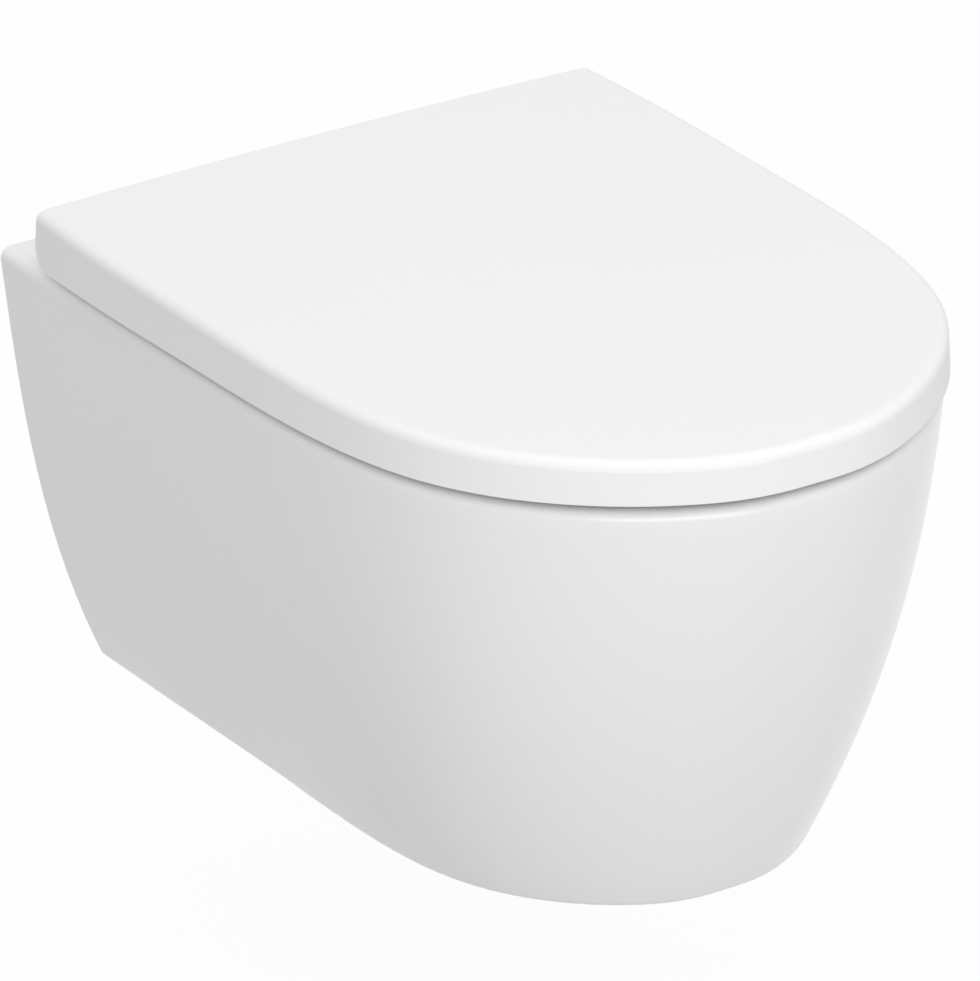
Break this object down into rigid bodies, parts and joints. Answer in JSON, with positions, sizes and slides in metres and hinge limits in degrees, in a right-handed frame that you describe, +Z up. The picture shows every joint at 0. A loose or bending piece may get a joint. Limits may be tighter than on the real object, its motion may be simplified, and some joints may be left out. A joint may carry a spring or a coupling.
{
  "type": "wall hung toilet",
  "caption": "Wall hung rimless toilet pan of vitreous china with a wrap-over lid, a seat on lift-off soft-close hinges and concealed wall brackets.",
  "frame": {"origin": "on the wall plane, midway between the two wall fixings", "axes": "+Z up, +Y into the wall, so the toilet reaches towards -Y; +X is right as seen from the front"},
  "size_m": [0.3698, 0.5008, 0.2987],
  "materials": {
    "vitreous_china": "gloss white glaze, unglazed at the wall",
    "moulded_resin": "gloss white moulded resin",
    "hinge_steel": "satin stainless steel",
    "plain_steel": "zinc plated",
    "grey_plastic": "fine moulded grain, pale grey",
    "button_plastic": "smooth dark grey",
    "buffer_rubber": "soft translucent grey",
    "black_rubber": "matt black",
    "white_nylon": "smooth off-white",
    "bracket_plastic": "glass filled, dark grey"
  },
  "bodies": {
    "pan_body": {"clamp_bushes": "white_nylon", "clamp_screws": "plain_steel", "cone_nuts": "plain_steel", "expansion_sleeves": "black_rubber", "fixing_nuts": "plain_steel", "fixing_washers": "plain_steel", "flush_spreader": "white_nylon", "hinge_studs": "plain_steel", "inlet_seal": "black_rubber", "pan_bowl": "vitreous_china", "pan_inlet": "vitreous_china", "pan_rim": "vitreous_china", "pan_shell": "vitreous_china", "pan_trapway": "vitreous_china", "rosette_gaskets": "black_rubber", "rosette_left": "hinge_steel", "rosette_right": "hinge_steel", "spreader_ring": "black_rubber", "wall_bracket_left": "bracket_plastic", "wall_bracket_right": "bracket_plastic"},
    "hinge_carriage": {"hinge_block_left": "hinge_steel", "hinge_block_right": "hinge_steel", "hinge_pin_left": "plain_steel", "hinge_pin_right": "plain_steel"},
    "seat_body": {"seat": "moulded_resin", "seat_arm_screws": "plain_steel", "seat_buffers": "buffer_rubber", "seat_bush": "grey_plastic", "seat_damper": "grey_plastic", "seat_hinge_arm_left": "grey_plastic", "seat_hinge_arm_right": "grey_plastic"},
    "lid_body": {"lid": "moulded_resin", "lid_arm_screws": "plain_steel", "lid_buffers": "buffer_rubber", "lid_bush": "grey_plastic", "lid_damper": "grey_plastic", "lid_hinge_arm_left": "grey_plastic", "lid_hinge_arm_right": "grey_plastic"},
    "button_left_body": {"release_button_left": "button_plastic"},
    "button_right_body": {"release_button_right": "button_plastic"}
  },
  "joints": [
    {"name": "hinge_lift_off", "type": "slide", "parent": "pan_body", "child": "hinge_carriage", "axis": [0, 0, 1], "range_m": [0, 0.03]},
    {"name": "seat_hinge", "type": "hinge", "parent": "hinge_carriage", "child": "seat_body", "pos_m": [0, -0.054, 0.0995], "axis": [1, 0, 0], "range_deg": [-93, 0]},
    {"name": "lid_hinge", "type": "hinge", "parent": "seat_body", "child": "lid_body", "pos_m": [0, -0.054, 0.0995], "axis": [-1, 0, 0], "range_deg": [0, 93]},
    {"name": "release_button_left", "type": "slide", "parent": "hinge_carriage", "child": "button_left_body", "axis": [0, 1, 0], "range_m": [0, 0.002], "stiffness_N_per_m": 300},
    {"name": "release_button_right", "type": "slide", "parent": "hinge_carriage", "child": "button_right_body", "axis": [0, 1, 0], "range_m": [0, 0.002], "stiffness_N_per_m": 300}
  ]
}
